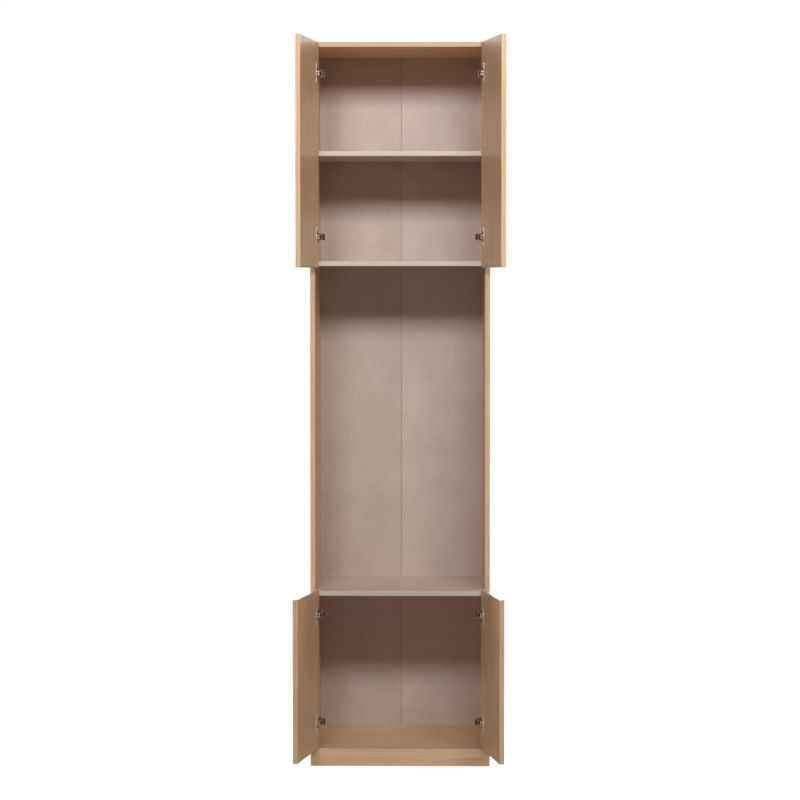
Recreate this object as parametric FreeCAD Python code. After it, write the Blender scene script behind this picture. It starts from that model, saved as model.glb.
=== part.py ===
import FreeCAD, Part
import math
import os

from FreeCAD import Vector

# A tall storage cabinet in light oak decor: an upper compartment with two doors and a loose shelf, an open
# niche, and a lower compartment with two doors, on a plinth. All four doors hang on concealed cup hinges and
# stand open. Millimetres. X runs to the right, Y into the cabinet and Z up. The origin is on the floor, at the
# middle of the plinth's front edge, so the carcass's front plane is Y = 0.

# Carcass
CABINET_WIDTH = 600.0
CABINET_HEIGHT = 2420.0
CABINET_DEPTH = 460.0
BOARD = 16.0
PLINTH_HEIGHT = 59.0
LOWER_CLEAR_HEIGHT = 514.0
UPPER_CLEAR_HEIGHT = 712.0
SHELF_PLACE_SHARE = 0.503
SHELF_SETBACK = 2.0
SHELF_SIDE_PLAY = 1.0
REAR_RAIL_INSET = 24.0
BOARD_EDGE_ROUND = 0.6

# Back
BACK_THICKNESS = 3.0
BACK_INSET = 9.0
BACK_GROOVE_DEPTH = 7.0
BACK_GROOVE_PLAY = 0.2
BACK_SEAM_GAP = 1.0
SEAM_TAPE_WIDTH = 40.0
SEAM_TAPE_THICKNESS = 0.4

# Doors
DOOR_SIDE_REVEAL = 1.5
DOOR_TOP_REVEAL = 1.5
DOOR_CENTRE_GAP = 3.0
DOOR_FRONT_GAP = 2.0
DOOR_FINGER_OVERHANG = 6.5
LOWER_DOOR_BOTTOM_GAP = 3.0
DOOR_EDGE_ROUND = 1.0
UPPER_HINGE_INSET = 103.0
LOWER_HINGE_INSET = 86.0

# How far each door stands open, in degrees from closed
UPPER_LEFT_ANGLE_DEGREES = 99.0
UPPER_RIGHT_ANGLE_DEGREES = 101.4
LOWER_LEFT_ANGLE_DEGREES = 101.3
LOWER_RIGHT_ANGLE_DEGREES = 100.6

# Hinge cup in the door
CUP_RADIUS = 17.5
CUP_EDGE_DISTANCE = 22.5
CUP_BORE_DEPTH = 12.5
CUP_FIT = 0.1
CUP_FLOOR_PLAY = 0.3
CUP_WALL = 1.0
FLANGE_THICKNESS = 1.5
FLANGE_RIM = 2.0
FLANGE_LENGTH = 66.0
FLANGE_WIDTH = 18.0
FLANGE_CORNER = 4.0
FLANGE_NOTCH_HALF = 10.2
CUP_SCREW_PITCH = 48.0
CUP_SCREW_OFFSET = 6.0
CUP_SCREW_RADIUS = 1.8
CUP_SCREW_HEAD_RADIUS = 3.6
CUP_SCREW_LENGTH = 13.0
SCREW_FIT = 0.05

# Hinge linkage, places from the side panel's inner front edge, with the door closed
ARM_OUTER_PIVOT = (18.5, 6.0)
ARM_INNER_PIVOT = (25.0, 10.0)
CUP_OUTER_PIVOT = (-3.4, -6.05)
CUP_INNER_PIVOT = (0.0, -9.8)
OUTER_KNEE = (2.9, -11.4)
INNER_KNEE = (12.0, -10.1)
OUTER_BRIDGE = (15.6, 7.8)
OUTER_LINK_RATE_SHARE = 0.35
INNER_LINK_RATE_SHARE = 0.14
SLOT_START = (24.65, 10.35)
SLOT_END = (28.4, 14.2)
SLOT_HALF_WIDTH = 2.1
SLOT_WALL = 1.1
PIN_RADIUS = 1.25
PIVOT_CLEARANCE = 0.08
LINK_HALF_WIDTH = 1.5
EYE_RADIUS = 2.6

# Layers of the hinge, counted out from its middle height
BOSS_HALF = 3.0
INNER_LINK_START = 3.4
LINK_SHEET = 1.7
LAYER_GAP = 0.5
PIN_PLAY = 0.15
ARM_HALF_WIDTH = 11.0

# Hinge arm and mounting plate
ARM_SHEET = 1.5
ARM_NOSE_RADIUS = 4.8
ARM_FOOT = 4.2
ARM_HEIGHT = 14.5
ARM_TOE = 28.0
ARM_SHOULDER = 31.0
ARM_BROW = (26.4, 9.2)
ARM_HOOD = (28.8, 14.5)
ARM_MOUTH = 26.5
ARM_REAR = 62.0
PLATE_ROW = 37.0
PLATE_SCREW_PITCH = 32.0
PLATE_WING_LENGTH = 46.0
PLATE_WING_WIDTH = 15.0
PLATE_WING_THICKNESS = 2.0
PLATE_BODY_LENGTH = 32.0
PLATE_BODY_WIDTH = 15.0
PLATE_SCREW_RADIUS = 2.5
PLATE_SCREW_HEAD_RADIUS = 4.2
PLATE_SCREW_HEAD = 1.8
PLATE_SCREW_LENGTH = 13.0
ARM_SCREW_RADIUS = 2.0
ARM_SCREW_HEAD_RADIUS = 3.2
ARM_SCREW_HEAD = 1.6
ARM_SCREW_DEPTH = 8.0
ARM_SCREW_SPACING = 16.0

# Fixings in the boards
JOINT_ROW_INSET = 60.0
DOWEL_SPACING = 32.0
DOWEL_RADIUS = 4.0
DOWEL_LENGTH = 30.0
DOWEL_IN_SIDE = 11.0
CAM_RADIUS = 7.5
CAM_DEPTH = 12.5
CAM_DISTANCE = 34.0
BOLT_RADIUS = 3.5
BOLT_THREAD_RADIUS = 2.5
BOLT_THREAD_LENGTH = 11.0
FIXING_FIT = 0.1
CAM_SLOT_WIDTH = 1.4
CAM_SLOT_DEPTH = 2.0
SHELF_PIN_RADIUS = 2.5
SHELF_PIN_IN_SIDE = 9.0
SHELF_PIN_OUT = 9.0
SHELF_PIN_FLAT = 0.5
SHELF_PIN_COLLAR_RADIUS = 4.0
SHELF_PIN_COLLAR = 0.8
SHELF_PIN_INSET = 50.0

# Cuts run this far past a face
OVERRUN = 5.0

HALF_WIDTH = CABINET_WIDTH / 2
SIDE_FACE = HALF_WIDTH - BOARD
BACK_FRONT = CABINET_DEPTH - BACK_INSET - BACK_THICKNESS
UPPER_FLOOR_TOP = CABINET_HEIGHT - BOARD - UPPER_CLEAR_HEIGHT
NICHE_FLOOR_TOP = PLINTH_HEIGHT + LOWER_CLEAR_HEIGHT + BOARD
SHELF_TOP = UPPER_FLOOR_TOP + BOARD + (UPPER_CLEAR_HEIGHT - BOARD) * SHELF_PLACE_SHARE
OPENING = {
    "upper_left": UPPER_LEFT_ANGLE_DEGREES,
    "upper_right": UPPER_RIGHT_ANGLE_DEGREES,
    "lower_left": LOWER_LEFT_ANGLE_DEGREES,
    "lower_right": LOWER_RIGHT_ANGLE_DEGREES,
}
FIXED_PANELS = {
    "top_panel": CABINET_HEIGHT - BOARD,
    "upper_floor_panel": UPPER_FLOOR_TOP - BOARD,
    "niche_floor_panel": NICHE_FLOOR_TOP - BOARD,
    "bottom_panel": PLINTH_HEIGHT - BOARD,
}
BACK_BOTTOM = FIXED_PANELS["bottom_panel"]
DOOR_WIDTH = (CABINET_WIDTH - 2 * DOOR_SIDE_REVEAL - DOOR_CENTRE_GAP) / 2
DOOR_EDGE = DOOR_SIDE_REVEAL - BOARD
DOOR_LEVELS = {
    "upper": (FIXED_PANELS["upper_floor_panel"] - DOOR_FINGER_OVERHANG, CABINET_HEIGHT - DOOR_TOP_REVEAL),
    "lower": (PLINTH_HEIGHT + LOWER_DOOR_BOTTOM_GAP, NICHE_FLOOR_TOP + DOOR_FINGER_OVERHANG),
}
HINGE_INSETS = {"upper": UPPER_HINGE_INSET, "lower": LOWER_HINGE_INSET}
CUP_X = DOOR_EDGE + CUP_EDGE_DISTANCE
CUP_CAVITY_RADIUS = CUP_RADIUS - CUP_FIT - CUP_WALL
CUP_BOTTOM = -DOOR_FRONT_GAP - CUP_BORE_DEPTH + CUP_FLOOR_PLAY
FLANGE_TOP = -DOOR_FRONT_GAP + FLANGE_THICKNESS
OUTER_LINK_START = INNER_LINK_START + LINK_SHEET + LAYER_GAP
CHEEK_START = OUTER_LINK_START + LINK_SHEET + LAYER_GAP
CHEEK_END = CHEEK_START + LINK_SHEET
STUB_START = OUTER_LINK_START - PIN_PLAY


def box(x0, x1, y0, y1, z0, z1):
    """A block between three pairs of coordinates."""
    return Part.makeBox(x1 - x0, y1 - y0, z1 - z0, Vector(x0, y0, z0))


def span(a, b):
    """The two coordinates, the lower first."""
    return (min(a, b), max(a, b))


def rounded_board(x0, x1, y0, y1, z0, z1, radius):
    """A board with all its edges softened, as an edged panel has."""
    board = box(x0, x1, y0, y1, z0, z1)
    return board.makeFillet(radius, board.Edges)


def rod(radius, start, end):
    """A round bar from one point to another."""
    along = end - start
    return Part.makeCylinder(radius, along.Length, start, along)


def upright(radius, place, z0, z1):
    """A round bar standing along Z at a place in plan."""
    return Part.makeCylinder(radius, z1 - z0, Vector(place[0], place[1], z0))


def strip(start, end, half_width, z0, z1):
    """A flat bar with round ends between two places in plan."""
    a = Vector(start[0], start[1], z0)
    b = Vector(end[0], end[1], z0)
    along = (b - a).normalize()
    across = Vector(-along.y, along.x, 0) * half_width
    tip = along * half_width
    outline = Part.Wire([
        Part.makeLine(a + across, b + across),
        Part.Arc(b + across, b + tip, b - across).toShape(),
        Part.makeLine(b - across, a - across),
        Part.Arc(a - across, a - tip, a + across).toShape(),
    ])
    return Part.Face(outline).extrude(Vector(0, 0, z1 - z0))


def both_layers(make, z0, z1):
    """The same piece above and below the hinge's middle height."""
    return make(z0, z1).fuse(make(-z1, -z0))


def mirrored(shape, side):
    """The piece as built for the left side, or its mirror image for the right."""
    if side < 0:
        return shape
    return shape.mirror(Vector(0, 0, 0), Vector(1, 0, 0))


def on_side_panel(shape, side, z):
    """Takes a hinge piece from the hinge's own frame to the cabinet's."""
    placed = shape.copy()
    placed.translate(Vector(-SIDE_FACE, 0, z))
    return mirrored(placed, side)


def turned(shape, place, degrees):
    """The piece turned about an upright line through a place in plan."""
    return shape.copy().rotate(Vector(place[0], place[1], 0), Vector(0, 0, 1), degrees)


def turned_point(point, place, degrees):
    """A place in plan turned about another."""
    angle = math.radians(degrees)
    dx = point[0] - place[0]
    dy = point[1] - place[1]
    return (
        place[0] + dx * math.cos(angle) - dy * math.sin(angle),
        place[1] + dx * math.sin(angle) + dy * math.cos(angle),
    )


def open_cup_pivot(opening):
    """Where the outer pivot of the cup stands when the door is open."""
    return turned_point(CUP_OUTER_PIVOT, ARM_OUTER_PIVOT, OUTER_LINK_RATE_SHARE * opening)


def open_door_point(point, opening):
    """Where a place on the closed door stands when the door is open."""
    pivot = open_cup_pivot(opening)
    swung = turned_point(point, CUP_OUTER_PIVOT, -opening)
    return (swung[0] + pivot[0] - CUP_OUTER_PIVOT[0], swung[1] + pivot[1] - CUP_OUTER_PIVOT[1])


def opened_with_door(shape, opening):
    """Carries a piece of the closed door to the open door."""
    swung = turned(shape, CUP_OUTER_PIVOT, -opening)
    pivot = open_cup_pivot(opening)
    swung.translate(Vector(pivot[0] - CUP_OUTER_PIVOT[0], pivot[1] - CUP_OUTER_PIVOT[1], 0))
    return swung


def opened_outer_link(shape, opening):
    """Carries the outer link from closed to open, about its pin in the arm."""
    return turned(shape, ARM_OUTER_PIVOT, OUTER_LINK_RATE_SHARE * opening)


def opened_inner_link(shape, opening):
    """Carries the inner link from closed to open, with its pin in the cup."""
    turned_link = turned(shape, CUP_INNER_PIVOT, INNER_LINK_RATE_SHARE * opening)
    pivot = open_door_point(CUP_INNER_PIVOT, opening)
    turned_link.translate(Vector(pivot[0] - CUP_INNER_PIVOT[0], pivot[1] - CUP_INNER_PIVOT[1], 0))
    return turned_link


def hinge_heights(level):
    """The two hinges' heights on a door."""
    low, high = DOOR_LEVELS[level]
    return (low + HINGE_INSETS[level], high - HINGE_INSETS[level])


def joint_rows():
    """Depths of the cam fittings, with the dowel beside each."""
    front = JOINT_ROW_INSET
    rear = BACK_FRONT - JOINT_ROW_INSET
    return ((front, front + DOWEL_SPACING), (rear, rear - DOWEL_SPACING))


def plinth_dowel_heights():
    """Heights of the two dowels in each end of the plinth board."""
    return (PLINTH_HEIGHT / 4, PLINTH_HEIGHT * 3 / 4)


def rear_rail_front():
    """Depth of the rear rail's front face."""
    return BACK_FRONT - REAR_RAIL_INSET


def shelf_pin_depths():
    """Depths of the shelf pins."""
    return (SHELF_PIN_INSET, BACK_FRONT - SHELF_PIN_INSET)


def side_dowel_places():
    """Every dowel between a side and a board, as depth and height."""
    places = []
    for bottom in FIXED_PANELS.values():
        for _, dowel in joint_rows():
            places.append((dowel, bottom + BOARD / 2))
    for height in plinth_dowel_heights():
        places.append((BOARD / 2, height))
    places.append((rear_rail_front() + BOARD / 2, BACK_BOTTOM / 2))
    return places


def dowel(side, depth, height, play=0):
    """One dowel across a side's inner face, or its hole where play is given."""
    start = Vector(side * (SIDE_FACE + DOWEL_IN_SIDE + play), depth, height)
    end = Vector(side * (SIDE_FACE + DOWEL_IN_SIDE - DOWEL_LENGTH - play), depth, height)
    return rod(DOWEL_RADIUS + play, start, end)


def cam_bolt(side, depth, height, play=0):
    """A cam bolt: its thread in the side, its stem in the board's end."""
    face = Vector(side * SIDE_FACE, depth, height)
    thread_end = Vector(side * (SIDE_FACE + BOLT_THREAD_LENGTH + play), depth, height)
    stem_end = Vector(side * (SIDE_FACE - CAM_DISTANCE), depth, height)
    return rod(BOLT_THREAD_RADIUS + play, face, thread_end).fuse(rod(BOLT_RADIUS + play, stem_end, face))


def cam_housing(side, depth, bottom):
    """A cam housing in a board's underside, hollow for the bolt's head, with a screwdriver slot."""
    place = (side * (SIDE_FACE - CAM_DISTANCE), depth)
    body = upright(CAM_RADIUS - FIXING_FIT, place, bottom, bottom + CAM_DEPTH)
    hollow = cam_bolt(side, depth, bottom + BOARD / 2, FIXING_FIT)
    reach = CAM_RADIUS / 2
    slot = box(place[0] - reach, place[0] + reach, depth - CAM_SLOT_WIDTH / 2, depth + CAM_SLOT_WIDTH / 2,
               bottom - OVERRUN, bottom + CAM_SLOT_DEPTH)
    return body.cut(hollow).cut(slot)


def shelf_pin(side, depth, play=0):
    """A shelf pin with a collar at the side's face and a flat where the shelf rests."""
    axis = SHELF_TOP - BOARD + SHELF_PIN_FLAT - SHELF_PIN_RADIUS
    inside = Vector(side * (SIDE_FACE + SHELF_PIN_IN_SIDE + play), depth, axis)
    outside = Vector(side * (SIDE_FACE - SHELF_PIN_OUT), depth, axis)
    pin = rod(SHELF_PIN_RADIUS + play, inside, outside)
    if play:
        return pin
    face = Vector(side * SIDE_FACE, depth, axis)
    shoulder = face - Vector(side * SHELF_PIN_COLLAR, 0, 0)
    x0, x1 = span(shoulder.x, outside.x - side * OVERRUN)
    reach = SHELF_PIN_RADIUS + OVERRUN
    flat = box(x0, x1, depth - reach, depth + reach, SHELF_TOP - BOARD, SHELF_TOP)
    return pin.cut(flat).fuse(rod(SHELF_PIN_COLLAR_RADIUS, face, shoulder))


def plate_screw_heights():
    """Heights of a mounting plate's two screws about the hinge's middle."""
    return (-PLATE_SCREW_PITCH / 2, PLATE_SCREW_PITCH / 2)


def plate_screw(height, play=0):
    """A plate screw in the hinge's own frame, or its pilot hole where play is given."""
    seat = Vector(PLATE_WING_THICKNESS, PLATE_ROW, height)
    shank = rod(PLATE_SCREW_RADIUS + play, seat, seat - Vector(PLATE_SCREW_LENGTH, 0, 0))
    if play:
        return shank
    head = rod(PLATE_SCREW_HEAD_RADIUS, seat, seat + Vector(PLATE_SCREW_HEAD, 0, 0))
    return shank.fuse(head)


def side_panel(side):
    """A full-height side: groove for the back, and the holes of everything that is fixed in it."""
    x0, x1 = span(side * SIDE_FACE, side * HALF_WIDTH)
    panel = rounded_board(x0, x1, 0, CABINET_DEPTH, 0, CABINET_HEIGHT, BOARD_EDGE_ROUND)
    x0, x1 = span(side * (SIDE_FACE - OVERRUN), side * (SIDE_FACE + BACK_GROOVE_DEPTH))
    groove_rear = BACK_FRONT + BACK_THICKNESS + BACK_GROOVE_PLAY
    groove_top = FIXED_PANELS["top_panel"] + BACK_GROOVE_DEPTH
    panel = panel.cut(box(x0, x1, BACK_FRONT, groove_rear, BACK_BOTTOM, groove_top))
    holes = []
    for depth, height in side_dowel_places():
        holes.append(dowel(side, depth, height, FIXING_FIT))
    for bottom in FIXED_PANELS.values():
        for cam, _ in joint_rows():
            holes.append(cam_bolt(side, cam, bottom + BOARD / 2, FIXING_FIT))
    for depth in shelf_pin_depths():
        holes.append(shelf_pin(side, depth, FIXING_FIT))
    for level in DOOR_LEVELS:
        for z in hinge_heights(level):
            for height in plate_screw_heights():
                holes.append(on_side_panel(plate_screw(height, SCREW_FIT), side, z))
    return panel.cut(Part.makeCompound(holes))


def fixed_panel(name):
    """A board fixed between the sides, with its cam and dowel holes."""
    bottom = FIXED_PANELS[name]
    rear = CABINET_DEPTH if name == "top_panel" else BACK_FRONT
    front = BOARD if name == "bottom_panel" else 0
    panel = box(-SIDE_FACE, SIDE_FACE, front, rear, bottom, bottom + BOARD)
    if name == "top_panel":
        groove_rear = BACK_FRONT + BACK_THICKNESS + BACK_GROOVE_PLAY
        groove_top = bottom + BACK_GROOVE_DEPTH
        low = bottom - OVERRUN
        panel = panel.cut(box(-HALF_WIDTH, HALF_WIDTH, BACK_FRONT, groove_rear, low, groove_top))
    holes = []
    for side in (-1, 1):
        for cam, peg in joint_rows():
            place = (side * (SIDE_FACE - CAM_DISTANCE), cam)
            holes.append(upright(CAM_RADIUS, place, bottom - OVERRUN, bottom + CAM_DEPTH))
            holes.append(cam_bolt(side, cam, bottom + BOARD / 2, FIXING_FIT))
            holes.append(dowel(side, peg, bottom + BOARD / 2, FIXING_FIT))
    return panel.cut(Part.makeCompound(holes))


def plinth_board(front, top):
    """A board on edge under the bottom panel, with dowel holes in its ends."""
    board = box(-SIDE_FACE, SIDE_FACE, front, front + BOARD, 0, top)
    holes = []
    for side in (-1, 1):
        for depth, height in side_dowel_places():
            holes.append(dowel(side, depth, height, FIXING_FIT))
    return board.cut(Part.makeCompound(holes))


def shelf():
    """The loose shelf of the upper compartment."""
    reach = SIDE_FACE - SHELF_SIDE_PLAY
    rear = BACK_FRONT - SHELF_SETBACK
    return rounded_board(-reach, reach, SHELF_SETBACK, rear, SHELF_TOP - BOARD, SHELF_TOP, BOARD_EDGE_ROUND)


def back_half(side):
    """One half of the back, in the grooves of its side and of the top."""
    x0, x1 = span(side * BACK_SEAM_GAP / 2, side * (SIDE_FACE + BACK_GROOVE_DEPTH - BACK_GROOVE_PLAY))
    top = FIXED_PANELS["top_panel"] + BACK_GROOVE_DEPTH - BACK_GROOVE_PLAY
    return box(x0, x1, BACK_FRONT, BACK_FRONT + BACK_THICKNESS, BACK_BOTTOM, top)


def seam_tape():
    """The tape that joins the two halves of the back from behind."""
    rear = BACK_FRONT + BACK_THICKNESS
    half = SEAM_TAPE_WIDTH / 2
    return box(-half, half, rear, rear + SEAM_TAPE_THICKNESS, BACK_BOTTOM, FIXED_PANELS["top_panel"])


def cup_screw(height, play=0):
    """A cup screw in the hinge's own frame, closed, or its pilot hole where play is given."""
    place = CUP_X + CUP_SCREW_OFFSET
    tip = Vector(place, FLANGE_TOP - CUP_SCREW_LENGTH, height)
    seat = Vector(place, FLANGE_TOP, height)
    shank = rod(CUP_SCREW_RADIUS + play, tip, seat)
    sink = CUP_SCREW_HEAD_RADIUS - CUP_SCREW_RADIUS
    neck = Vector(place, FLANGE_TOP - sink, height)
    head = Part.makeCone(CUP_SCREW_RADIUS + play, CUP_SCREW_HEAD_RADIUS + play, sink, neck, Vector(0, 1, 0))
    return shank.fuse(head)


def cup_screw_heights():
    """Heights of the two cup screws about the hinge's middle."""
    return (-CUP_SCREW_PITCH / 2, CUP_SCREW_PITCH / 2)


def flange():
    """The cup's flange: a rim round the cup and two ears for the screws, notched for the links."""
    rim = rod(CUP_RADIUS + FLANGE_RIM, Vector(CUP_X, -DOOR_FRONT_GAP, 0), Vector(CUP_X, FLANGE_TOP, 0))
    middle = CUP_X + CUP_SCREW_OFFSET
    half = FLANGE_WIDTH / 2 - FLANGE_CORNER
    end = FLANGE_LENGTH / 2 - FLANGE_CORNER
    points = []
    for x, z in ((-half, -end), (half, -end), (half, end), (-half, end), (-half, -end)):
        points.append(Vector(middle + x, -DOOR_FRONT_GAP, z))
    outline = Part.Face(Part.makePolygon(points)).makeOffset2D(FLANGE_CORNER)
    ears = outline.extrude(Vector(0, FLANGE_THICKNESS, 0))
    notch = box(DOOR_EDGE - OVERRUN, CUP_X - CUP_RADIUS / 2, -DOOR_FRONT_GAP, FLANGE_TOP + OVERRUN,
                -FLANGE_NOTCH_HALF, FLANGE_NOTCH_HALF)
    return rim.fuse(ears).cut(notch)


def hinge_cup():
    """The cup with its flange, the cheeks of the outer pivot and the boss of the inner pivot."""
    axis = Vector(CUP_X, 0, 0)
    body = rod(CUP_RADIUS - CUP_FIT, axis + Vector(0, CUP_BOTTOM, 0), axis + Vector(0, -DOOR_FRONT_GAP, 0))
    body = body.fuse(flange())
    floor = CUP_BOTTOM + CUP_WALL
    cavity = rod(CUP_CAVITY_RADIUS, axis + Vector(0, floor, 0), axis + Vector(0, FLANGE_TOP + OVERRUN, 0))
    shell = body.cut(cavity)
    cheek_top = CUP_OUTER_PIVOT[1] + EYE_RADIUS
    cheek_front = CUP_OUTER_PIVOT[0] + EYE_RADIUS

    def cheek(z0, z1):
        return box(CUP_X - CUP_RADIUS, cheek_front, floor - CUP_WALL / 2, cheek_top, z0, z1)

    x, y = CUP_INNER_PIVOT
    root = floor - CUP_WALL / 2
    boss = upright(EYE_RADIUS, CUP_INNER_PIVOT, -BOSS_HALF, BOSS_HALF)
    foot = box(x - EYE_RADIUS, x + EYE_RADIUS, root, y, -BOSS_HALF, BOSS_HALF)
    mouth = axis + Vector(0, -DOOR_FRONT_GAP, 0)
    inside = rod(CUP_CAVITY_RADIUS + CUP_WALL / 2, axis + Vector(0, root, 0), mouth)
    carriers = both_layers(cheek, CHEEK_START, CHEEK_END).fuse(boss).fuse(foot).common(inside)
    shell = shell.fuse(carriers)
    holes = [
        upright(PIN_RADIUS, CUP_OUTER_PIVOT, -CHEEK_END, CHEEK_END),
        upright(PIN_RADIUS, CUP_INNER_PIVOT, -BOSS_HALF, BOSS_HALF),
    ]
    for height in cup_screw_heights():
        holes.append(cup_screw(height, SCREW_FIT))
    return shell.cut(Part.makeCompound(holes)).removeSplitter()


def cup_pins():
    """Two short pins in the cheeks and one through the boss."""
    def stub(z0, z1):
        return upright(PIN_RADIUS, CUP_OUTER_PIVOT, z0, z1)

    end = INNER_LINK_START + LINK_SHEET + PIN_PLAY
    through = upright(PIN_RADIUS, CUP_INNER_PIVOT, -end, end)
    return [stub(STUB_START, CHEEK_END), stub(-CHEEK_END, -STUB_START), through]


def outer_link():
    """The outer link: two bent bars joined by a bridge beside the arm's pin, clear of the inner link."""
    def side_bar(z0, z1):
        bar = strip(ARM_OUTER_PIVOT, OUTER_KNEE, LINK_HALF_WIDTH, z0, z1)
        bar = bar.fuse(strip(OUTER_KNEE, CUP_OUTER_PIVOT, LINK_HALF_WIDTH, z0, z1))
        bar = bar.fuse(strip(ARM_OUTER_PIVOT, OUTER_BRIDGE, LINK_HALF_WIDTH, z0, z1))
        bar = bar.fuse(upright(EYE_RADIUS, ARM_OUTER_PIVOT, z0, z1))
        return bar.fuse(upright(EYE_RADIUS, CUP_OUTER_PIVOT, z0, z1))

    end = OUTER_LINK_START + LINK_SHEET
    link = both_layers(side_bar, OUTER_LINK_START, end)
    link = link.fuse(upright(LINK_HALF_WIDTH, OUTER_BRIDGE, -end, end))
    for pivot in (ARM_OUTER_PIVOT, CUP_OUTER_PIVOT):
        link = link.cut(upright(PIN_RADIUS + PIVOT_CLEARANCE, pivot, -end - OVERRUN, end + OVERRUN))
    return link.removeSplitter()


def inner_link():
    """The inner link: two bent bars joined at the knee, with a slot in which the arm's inner pin slides."""
    def side_bar(z0, z1):
        bar = strip(CUP_INNER_PIVOT, INNER_KNEE, LINK_HALF_WIDTH, z0, z1)
        bar = bar.fuse(strip(INNER_KNEE, SLOT_START, LINK_HALF_WIDTH, z0, z1))
        bar = bar.fuse(upright(EYE_RADIUS, CUP_INNER_PIVOT, z0, z1))
        return bar.fuse(strip(SLOT_START, SLOT_END, SLOT_HALF_WIDTH + SLOT_WALL, z0, z1))

    end = INNER_LINK_START + LINK_SHEET
    link = both_layers(side_bar, INNER_LINK_START, end)
    link = link.fuse(upright(LINK_HALF_WIDTH, INNER_KNEE, -end, end))
    link = link.cut(strip(SLOT_START, SLOT_END, SLOT_HALF_WIDTH, -end - OVERRUN, end + OVERRUN))
    link = link.cut(upright(PIN_RADIUS + PIVOT_CLEARANCE, CUP_INNER_PIVOT, -end - OVERRUN, end + OVERRUN))
    return link.removeSplitter()


def hinge_arm():
    """The arm: a channel with a round nose over the links, open to the side panel and at its mouth."""
    corners = [
        ARM_OUTER_PIVOT,
        ARM_BROW,
        ARM_HOOD,
        (ARM_HEIGHT - ARM_NOSE_RADIUS, ARM_SHOULDER),
        (ARM_HEIGHT - ARM_NOSE_RADIUS, ARM_REAR - ARM_NOSE_RADIUS),
        (ARM_FOOT + ARM_NOSE_RADIUS, ARM_REAR - ARM_NOSE_RADIUS),
        (ARM_FOOT + ARM_NOSE_RADIUS, ARM_TOE),
    ]

    def profile(radius, half):
        points = []
        for x, y in corners + corners[:1]:
            points.append(Vector(x, y, -half))
        outline = Part.Face(Part.makePolygon(points)).makeOffset2D(radius)
        return outline.extrude(Vector(0, 0, 2 * half))

    inside = ARM_HALF_WIDTH - ARM_SHEET
    arm = profile(ARM_NOSE_RADIUS, ARM_HALF_WIDTH).cut(profile(ARM_NOSE_RADIUS - ARM_SHEET, inside))
    web_face = ARM_HEIGHT - ARM_SHEET
    arm = arm.cut(box(-OVERRUN, web_face, -OVERRUN, ARM_REAR + OVERRUN, -inside, inside))
    arm = arm.cut(box(-OVERRUN, ARM_MOUTH, -OVERRUN, ARM_HOOD[1], -inside, inside))
    for pivot in (ARM_OUTER_PIVOT, ARM_INNER_PIVOT):
        arm = arm.cut(upright(PIN_RADIUS, pivot, -ARM_HALF_WIDTH - OVERRUN, ARM_HALF_WIDTH + OVERRUN))
    for depth in arm_screw_depths():
        hole_end = Vector(ARM_HEIGHT + OVERRUN, depth, 0)
        arm = arm.cut(rod(ARM_SCREW_RADIUS + SCREW_FIT, Vector(0, depth, 0), hole_end))
    return arm.removeSplitter()


def arm_pins():
    """Two short pins for the outer link and one through pin for the inner link."""
    return [
        upright(PIN_RADIUS, ARM_OUTER_PIVOT, STUB_START, ARM_HALF_WIDTH),
        upright(PIN_RADIUS, ARM_OUTER_PIVOT, -ARM_HALF_WIDTH, -STUB_START),
        upright(PIN_RADIUS, ARM_INNER_PIVOT, -ARM_HALF_WIDTH, ARM_HALF_WIDTH),
    ]


def arm_screw_depths():
    """Depths of the arm's adjusting screw and its fixing screw."""
    middle = PLATE_ROW + PLATE_SCREW_PITCH / 4
    return (middle - ARM_SCREW_SPACING / 2, middle + ARM_SCREW_SPACING / 2)


def arm_screws():
    """The screws that hold the arm on its plate."""
    screws = []
    for depth in arm_screw_depths():
        seat = Vector(ARM_HEIGHT, depth, 0)
        shank = rod(ARM_SCREW_RADIUS, seat - Vector(ARM_SCREW_DEPTH, 0, 0), seat)
        head = rod(ARM_SCREW_HEAD_RADIUS, seat, seat + Vector(ARM_SCREW_HEAD, 0, 0))
        screws.append(shank.fuse(head))
    return screws


def mounting_plate():
    """The mounting plate: an upright wing with two screws, and the raised body that the arm sits on."""
    end = (PLATE_WING_LENGTH - PLATE_WING_WIDTH) / 2
    half = PLATE_WING_WIDTH / 2
    wing = box(0, PLATE_WING_THICKNESS, PLATE_ROW - half, PLATE_ROW + half, -end, end)
    for height in (-end, end):
        root = Vector(0, PLATE_ROW, height)
        wing = wing.fuse(rod(half, root, root + Vector(PLATE_WING_THICKNESS, 0, 0)))
    depths = arm_screw_depths()
    middle = (depths[0] + depths[1]) / 2
    body = box(0, ARM_HEIGHT - ARM_SHEET, middle - PLATE_BODY_LENGTH / 2, middle + PLATE_BODY_LENGTH / 2,
               -PLATE_BODY_WIDTH / 2, PLATE_BODY_WIDTH / 2)
    plate = wing.fuse(body)
    for height in plate_screw_heights():
        plate = plate.cut(plate_screw(height, SCREW_FIT))
    for depth in depths:
        hole_end = Vector(ARM_HEIGHT - ARM_SCREW_DEPTH - SCREW_FIT, depth, 0)
        plate = plate.cut(rod(ARM_SCREW_RADIUS + SCREW_FIT, hole_end, Vector(ARM_HEIGHT, depth, 0)))
    return plate.removeSplitter()


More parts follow.
